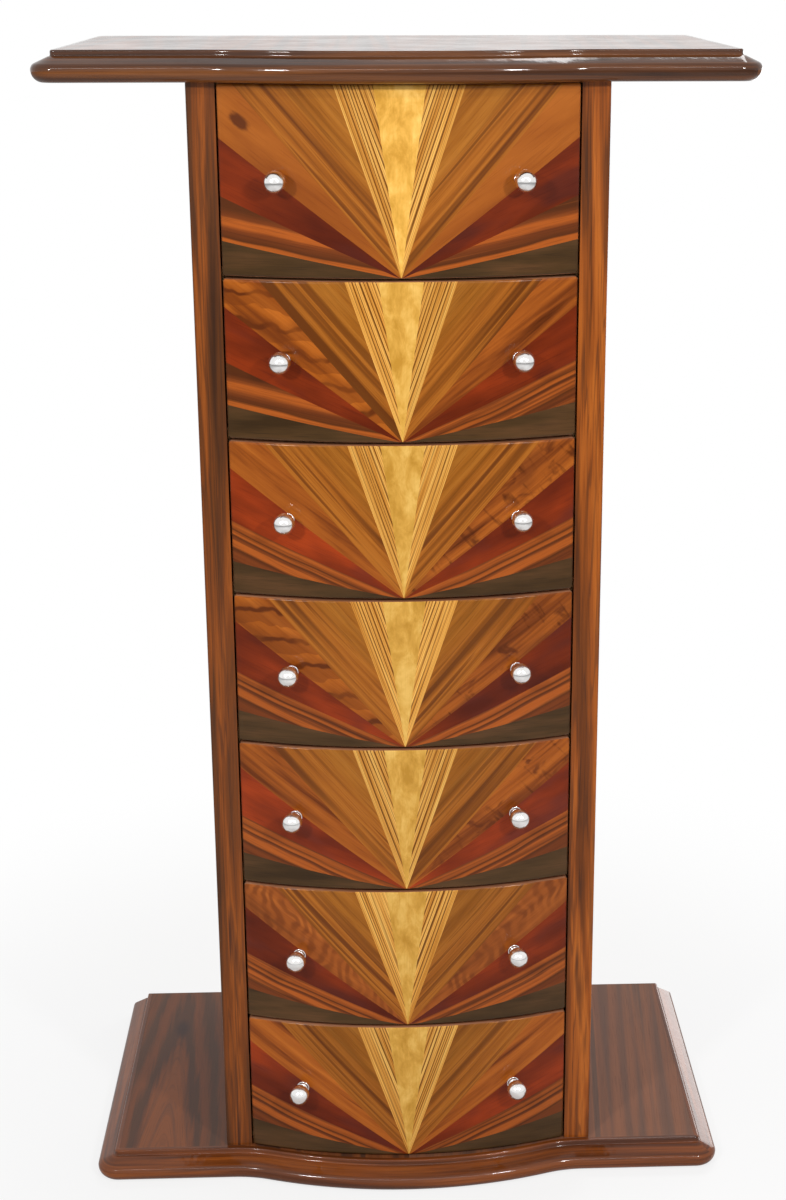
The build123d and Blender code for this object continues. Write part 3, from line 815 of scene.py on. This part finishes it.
def add_mouldings():
    """Front and side mouldings of both slabs, the top one's colours a little darker as painted shade."""
    profile = moulding_profile()
    base_wood = moulding_wood("base_moulding_wood", base_moulding_stops)
    shaded_top_wood = moulding_wood("top_moulding_wood_painted_shade", shaded_top_moulding_stops)
    for slab, floor_z, material in (("base", 0.0, base_wood), ("top", top_slab_z, shaded_top_wood)):
        front = f"{slab}_front_moulding"
        sides = f"{slab}_side_mouldings"
        sheet = swept_sheet(serpentine_stations(), profile, floor_z)
        add_moulding(f"{slab}_moulding_front", sheet, material, front)
        for name, mirrored in (("left", True), ("right", False)):
            sheet = swept_sheet(side_stations(), profile, floor_z, mirrored)
            add_moulding(f"{slab}_moulding_{name}", sheet, material, sides)


def ray_of(x, z, apex_z):
    """Number of the ray at a place on a front."""
    angle = math.degrees(math.atan2(z - apex_z, abs(x)))
    return sum(angle > edge for edge in ray_angles)


def ray_grain(number, side, ray):
    """Direction of a ray's grain in degrees from a front's bottom edge, and the side of it in the ray."""
    edges = [0.0] + ray_angles + [right_angle]
    if ray == 0:
        return 0.0, 1
    if ray == striped_ray and stripes_follow_upper_edge(number, side):
        return edges[ray + 1], -1
    if ray == inner_walnut_ray:
        return edges[walnut_ray], 1
    if ray == middle_ray:
        return right_angle, 1
    return edges[ray], 1


def stripes_follow_upper_edge(number, side):
    """Whether the striped ray's stripes run along its upper edge; on the top fronts most don't."""
    return number > 2 or (number == 2 and side > 0)


def leaf_choices(number):
    """For each ray of a front, where its veneer was cut and the veneer's tone."""
    luck = random.Random(leaf_seed + number)
    leaves = {}
    for side in (-1, 1):
        for ray in range(ray_count):
            place = luck.uniform(0, leaf_spread)
            leaves[(side, ray)] = (place, luck.uniform(darkest_tone, lightest_tone))
        leaves[(side, inner_walnut_ray)] = leaves[(side, walnut_ray)]
        place, tone = leaves[(side, red_ray)]
        leaves[(side, red_ray)] = (place, tone * red_tones[number - 1])
    middle_leaf = (luck.uniform(0, leaf_spread), gold_tones[number - 1])
    leaves[(-1, middle_ray)] = middle_leaf
    leaves[(1, middle_ray)] = middle_leaf
    return leaves


def blank_sheet(number):
    """Flat rounded rectangle of veneer, in rings from its back to the flat of its face."""
    sheet = bmesh.new()
    rings = []
    for depth in edge_depths:
        outline = rounded_outline(number, edge_inset(depth))
        rings.append([sheet.verts.new((x, depth, z)) for x, z in outline])
    for a, b in zip(rings, rings[1:]):
        for j in range(len(a)):
            k = (j + 1) % len(a)
            sheet.faces.new((a[j], a[k], b[k], b[j]))
    sheet.faces.new(rings[0])
    sheet.faces.new(rings[-1])
    bmesh.ops.recalc_face_normals(sheet, faces=sheet.faces)
    return sheet


def cut(sheet, point, normal):
    """Cut the sheet along a plane and keep both sides."""
    everything = sheet.verts[:] + sheet.edges[:] + sheet.faces[:]
    bmesh.ops.bisect_plane(sheet, geom=everything, plane_co=point, plane_no=normal, dist=cut_tolerance)


def cut_sheet(sheet, number, apex_z):
    """Cut the sheet into columns for its bow, along its rounded edges and along the seams of its rays."""
    low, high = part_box(f"drawer_{number}_marquetry")
    for k in range(1, front_columns):
        cut(sheet, (-high.x + 2 * high.x * k / front_columns, 0, 0), (1, 0, 0))
    flat = edge_inset(0.0)
    for z in (low.z + flat, high.z - flat):
        cut(sheet, (0, 0, z), (0, 0, 1))
    for angle in ray_angles:
        slope = math.radians(angle)
        for side in (-1, 1):
            cut(sheet, (0, 0, apex_z), (-side * math.sin(slope), 0, math.cos(slope)))


def lay_grain(sheet, number, apex_z):
    """Give every face of the sheet its ray's material, leaf, tone and direction of grain."""
    leaves = leaf_choices(number)
    grain = sheet.loops.layers.uv.new("grain")
    leaf_layer = sheet.faces.layers.float.new("leaf")
    tone_layer = sheet.faces.layers.float.new("tone")
    for face in sheet.faces:
        middle = face.calc_center_median()
        side = -1 if middle.x < 0 else 1
        ray = ray_of(middle.x, middle.z, apex_z)
        face.material_index = ray if side > 0 else ray_count + ray
        face.smooth = True
        face[leaf_layer], face[tone_layer] = leaves[(side, ray)]
        slope, inner_side = ray_grain(number, side, ray)
        slope = math.radians(slope)
        for loop in face.loops:
            place = loop.vert.co
            across_x = place.x if ray == middle_ray else side * place.x
            rise = place.z - apex_z
            along = across_x * math.cos(slope) + rise * math.sin(slope)
            inwards = rise * math.cos(slope) - across_x * math.sin(slope)
            loop[grain].uv = (along, inwards * inner_side)


def bend(sheet):
    """Bend the flat sheet to the drawers' bow."""
    for vert in sheet.verts:
        x, depth, z = vert.co
        radius = bow_radius - depth
        vert.co = (x, bow_centre_y - math.sqrt(radius ** 2 - x ** 2), z)


def face_sheet(number, materials):
    """The bowed sheet of veneer on a drawer's front, each ray with its own grain."""
    node = f"drawer_{number}_marquetry"
    apex_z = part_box(node)[0].z - veneer_edge_inset()
    sheet = blank_sheet(number)
    cut_sheet(sheet, number, apex_z)
    lay_grain(sheet, number, apex_z)
    bend(sheet)
    name = f"drawer_{number}_sunburst"
    mesh = finished_mesh(name, sheet, front_crease)
    new_object(name, mesh, f"drawer_{number}", materials, (node,))


def seam_angles():
    """The seams of the marquetry as angles from a front's bottom edge, from the side to the middle."""
    corners = []
    for number in (1, drawer_count):
        low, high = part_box(f"drawer_{number}_marquetry")
        drawn_in = veneer_edge_inset()
        height = high.z - low.z + 2 * drawn_in
        corners.append(math.degrees(math.atan2(height, high.x + drawn_in)))
    angles = [share * min(corners) for share in low_ray_shares]
    for share in high_ray_shares:
        angles.append(max(corners) + share * (right_angle - max(corners)))
    return angles


def edge_inset(depth):
    """How far the rounded edge has drawn in at a depth behind the face."""
    rise = front_edge_radius - depth
    return front_edge_radius - math.sqrt(front_edge_radius ** 2 - rise ** 2)


def veneer_edge_inset():
    """The inset of the veneer's back edge from the front's outline."""
    return edge_inset(veneer_thickness)


ray_angles = seam_angles()


def rounded_outline(number, inset):
    """Outline of a front with round corners, drawn in by inset from the front's full size."""
    low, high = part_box(f"drawer_{number}_marquetry")
    back = veneer_edge_inset()
    x1 = high.x + back - inset
    z0 = low.z - back + inset
    z1 = high.z + back - inset
    radius = front_corner_radius - inset
    centres = (
        (x1 - radius, z0 + radius),
        (x1 - radius, z1 - radius),
        (-x1 + radius, z1 - radius),
        (-x1 + radius, z0 + radius),
    )
    points = []
    for turn, centre in enumerate(centres, start=-1):
        start = turn * math.pi / 2
        points += arc(centre, radius, start, start + math.pi / 2, corner_steps)
    return points


def knob_profile():
    """Half section of a knob from its foot to its top: collar, flared neck and ball."""
    quarter = math.pi / 2
    collar_top = glue_line + collar_thickness
    collar_edge = (collar_radius - collar_rounding, collar_top - collar_rounding)
    hollow = (neck_radius + neck_flare, collar_top + neck_flare)
    meet = math.acos(neck_radius / ball_radius)
    profile = [(0.0, glue_line), (collar_radius, glue_line)]
    profile += arc(collar_edge, collar_rounding, 0, quarter, small_arc_steps)
    profile += [(neck_radius + neck_flare, collar_top)]
    profile += arc(hollow, neck_flare, -quarter, -2 * quarter, small_arc_steps)[1:]
    profile += arc((0.0, ball_stand_off), ball_radius, -meet, quarter, ball_steps)
    return profile


def knob_mesh(name):
    """Ball on a short neck and a collar, turned about z with its foot at the origin."""
    turned = bmesh.new()
    rings = []
    for radius, height in knob_profile():
        if radius < pole_radius:
            rings.append([turned.verts.new((0, 0, height))])
            continue
        ring = []
        for k in range(turned_steps):
            angle = 2 * math.pi * k / turned_steps
            ring.append(turned.verts.new((radius * math.cos(angle), radius * math.sin(angle), height)))
        rings.append(ring)
    for a, b in zip(rings, rings[1:]):
        for k in range(turned_steps):
            m = (k + 1) % turned_steps
            corners = (a[k % len(a)], b[k % len(b)], b[m % len(b)], a[m % len(a)])
            turned.faces.new(list(dict.fromkeys(corners)))
    bmesh.ops.recalc_face_normals(turned, faces=turned.faces)
    for face in turned.faces:
        face.smooth = True
    return finished_mesh(name, turned, knob_crease)


def add_knobs(number, material):
    """The two ball knobs of a drawer, square to its bow."""
    node = f"drawer_{number}_knobs"
    low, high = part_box(node)
    knob_x = knob_spacing / 2
    lean = math.asin(knob_x / bow_radius)
    knob_y = bow_centre_y - bow_radius * math.cos(lean)
    for word, side in (("left", -1), ("right", 1)):
        name = f"drawer_{number}_knob_{word}"
        mesh = knob_mesh(name)
        place = Matrix.Translation((side * knob_x, knob_y, (low.z + high.z) / 2))
        turn = Matrix.Rotation(side * lean, 4, "Z") @ Matrix.Rotation(math.pi / 2, 4, "X")
        mesh.transform(place @ turn)
        new_object(name, mesh, f"drawer_{number}", [material], (node,))


slab_stops = [
    (0.30, srgb(74, 46, 32)),
    (0.42, srgb(94, 58, 40)),
    (0.50, srgb(122, 70, 40)),
    (0.58, srgb(134, 78, 44)),
    (0.66, srgb(84, 56, 42)),
]
figure_stops = [
    (0.10, srgb(136, 78, 44)),
    (0.18, srgb(122, 70, 42)),
    (0.25, srgb(86, 56, 42)),
    (0.33, srgb(88, 58, 42)),
    (0.39, srgb(118, 68, 42)),
    (0.47, srgb(112, 66, 42)),
    (0.53, srgb(88, 58, 42)),
    (0.60, srgb(90, 60, 44)),
    (0.67, srgb(116, 68, 42)),
    (0.80, srgb(96, 60, 42)),
    (0.95, srgb(116, 70, 44)),
]
left_stops = [
    (0.28, srgb(60, 36, 22)),
    (0.42, srgb(96, 54, 26)),
    (0.52, srgb(122, 64, 26)),
    (0.60, srgb(146, 78, 30)),
    (0.70, srgb(82, 46, 28)),
]
right_stops = [
    (0.28, srgb(72, 38, 18)),
    (0.40, srgb(112, 58, 22)),
    (0.50, srgb(150, 78, 28)),
    (0.60, srgb(178, 98, 36)),
    (0.70, srgb(90, 48, 24)),
]


def dress_slabs_and_sides():
    """Veneers of the case's outside, where the CAD shape stays."""
    dress("base_board", slab_veneer("base_veneer", 1.0, slab_stops, figure_stops, 0.15))
    dress("top_board", slab_veneer("top_veneer", 4.0, slab_stops, figure_stops, 0.4))
    dress("left_side_panel", case_veneer("left_panel_veneer", "Z", 2.0, slab_stops))
    dress("right_side_panel", case_veneer("right_panel_veneer", "Z", 5.0, slab_stops))
    dress("left_front_stile", case_veneer("left_stile_veneer", "Z", 3.0, left_stops, 54.0, 2.2, 0.4))
    dress("right_front_stile", case_veneer("right_stile_veneer", "Z", 6.0, right_stops, 50.0, 2.4, 0.4))


def dress_inside(steel):
    """Plain woods and screws of the case, where the CAD shape stays."""
    inner = plain_wood("inner_beech", "X", 0.5, *beech)
    dress("drawer_rails", inner)
    dress("rear_cleats", inner)
    dress("drawer_runners", plain_wood("runner_beech", "Y", 1.5, *beech))
    dress("case_dowels", plain_wood("dowel_beech", "Z", 2.5, *beech))
    dress("back_panel", plain_wood("back_birch", "Z", 3.5, *birch))
    for name in ("slab_screws", "runner_screws", "back_panel_screws"):
        dress(name, steel)


def dress_drawers(steel):
    """Plain woods and screws of the drawers, where the CAD shape stays."""
    core = edge_wood_and_highlight("front_core_wood_and_highlight")
    box_inner_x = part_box("drawer_1_box")[1].x - box_board
    box_wood = plain_wood("drawer_maple", "Y", 4.5, *maple, side_x=box_inner_x)
    bottom_wood = plain_wood("bottom_birch", "X", 5.5, *birch)
    for number in range(1, drawer_count + 1):
        dress(f"drawer_{number}_front", core)
        dress(f"drawer_{number}_box", box_wood)
        dress(f"drawer_{number}_bottom", bottom_wood)
        dress(f"drawer_{number}_knob_screws", steel)


def veneers():
    """Every veneer of the sunbursts, by name."""
    made = {
        "ebony": ebony("veneer_ebony"),
        "tulipwood_lower": tulipwood("veneer_tulipwood_lower", lower_stripes),
        "tulipwood_upper": tulipwood("veneer_tulipwood_upper", upper_stripes),
        "padauk": padauk("veneer_padauk"),
        "walnut": walnut("veneer_walnut"),
        "zebrano": zebrano("veneer_zebrano"),
        "satinwood": satinwood("veneer_satinwood"),
    }
    for figure in rosewood_stops:
        made[f"rosewood_{figure}"] = rosewood(f"veneer_rosewood_{figure}", figure)
    return made


def sunburst_materials(number, made):
    """The veneers of a front: the rays of the right half, then those of the left."""
    chosen = []
    for side, figure in ((1, right_figures[number - 1]), (-1, left_figures[number - 1])):
        edge = "upper" if stripes_follow_upper_edge(number, side) else "lower"
        kinds = {"tulipwood": f"tulipwood_{edge}", "rosewood": f"rosewood_{figure}"}
        chosen += [made[kinds.get(wood, wood)] for wood in ray_woods]
    return chosen


def add_drawers():
    """Marquetry and knobs of every drawer."""
    chrome = metal("knob_chrome", srgb(240, 238, 236), 0.11, 0.08)
    made = veneers()
    for number in range(1, drawer_count + 1):
        face_sheet(number, sunburst_materials(number, made))
        add_knobs(number, chrome)


def add_camera():
    """Camera where the photographer stood."""
    data = bpy.data.cameras.new("camera")
    data.sensor_width = film_height
    data.lens = film_height * focal_pixels / picture_height
    data.shift_x = (picture_width / 2 - axis_pixel_x) / picture_height
    camera = bpy.data.objects.new("camera", data)
    camera.location = camera_place
    camera.rotation_euler = (math.pi / 2 - camera_pitch, 0, -camera_yaw)
    bpy.context.scene.collection.objects.link(camera)
    bpy.context.scene.camera = camera


def add_lamp(name, place, target, width, height, power):
    """Soft box lamp at a place, facing a target."""
    data = bpy.data.lights.new(name, "AREA")
    data.shape = "RECTANGLE"
    data.size = width
    data.size_y = height
    data.energy = power
    lamp = bpy.data.objects.new(name, data)
    lamp.location = place
    direction = Vector(target) - Vector(place)
    lamp.rotation_euler = direction.to_track_quat("-Z", "Y").to_euler()
    bpy.context.scene.collection.objects.link(lamp)


def add_lights():
    """Soft studio light: one wide lamp above, two small ones in front, one at the side, one behind."""
    for name, (place, width, height, power, target) in lamps.items():
        add_lamp(name, place, target, width, height, power)


def add_world():
    """White surroundings for the camera and for reflections, and a gentler light from them."""
    world = bpy.data.worlds.new("surroundings")
    bpy.context.scene.world = world
    shader = Shader("surroundings", world)
    rays = shader.add("ShaderNodeLightPath").outputs
    shown = shader.math("MAXIMUM", rays["Is Camera Ray"], rays["Is Glossy Ray"])
    shown = shader.math("MAXIMUM", shown, rays["Is Transmission Ray"])
    level = shader.add("ShaderNodeMapRange", {"Value": shown, "To Min": surroundings_light})
    inputs = {"Color": (1, 1, 1, 1), "Strength": level.outputs[0]}
    background = shader.add("ShaderNodeBackground", inputs)
    shader.add("ShaderNodeOutputWorld", {"Surface": background.outputs[0]})


def add_floor():
    """Plain pale floor that keeps the chest's shadow and shows white away from it."""
    mesh = bpy.data.meshes.new("floor")
    corners = [(x * floor_reach, y * floor_reach, 0) for x, y in ((-1, -1), (1, -1), (1, 1), (-1, 1))]
    mesh.from_pydata(corners, [], [(0, 1, 2, 3)])
    shader = Shader("floor_paint")
    place = shader.add("ShaderNodeTexCoord").outputs["Object"]
    cloud = shader.noise(shader.scaled(place, (3, 3, 3)), 3.0)
    colour = shader.mix(cloud, srgb(232, 232, 232), srgb(238, 238, 238))
    paint = shader.add("ShaderNodeBsdfDiffuse", {"Color": colour})
    glow = shader.add("ShaderNodeEmission", {"Color": (1, 1, 1, 1), "Strength": 1.0})
    distance = shader.add("ShaderNodeVectorMath", {0: place}, operation="LENGTH").outputs["Value"]
    far = shader.fade(distance, floor_fade_start, floor_fade_end, floor_whiteness, 1.0)
    seen = shader.add("ShaderNodeLightPath").outputs["Is Camera Ray"]
    share = shader.math("MULTIPLY", far, seen)
    surface = shader.add("ShaderNodeMixShader", {0: share, 1: paint.outputs[0], 2: glow.outputs[0]})
    mesh.materials.append(shader.finish(surface.outputs[0]))
    floor = bpy.data.objects.new("floor", mesh)
    bpy.context.scene.collection.objects.link(floor)


steel = metal("screw_steel", srgb(176, 172, 160), 0.3, 0.15)
dress_slabs_and_sides()
dress_inside(steel)
dress_drawers(steel)
add_mouldings()
add_drawers()
add_camera()
add_lights()
add_world()
add_floor()
bpy.context.scene.view_settings.view_transform = "Standard"
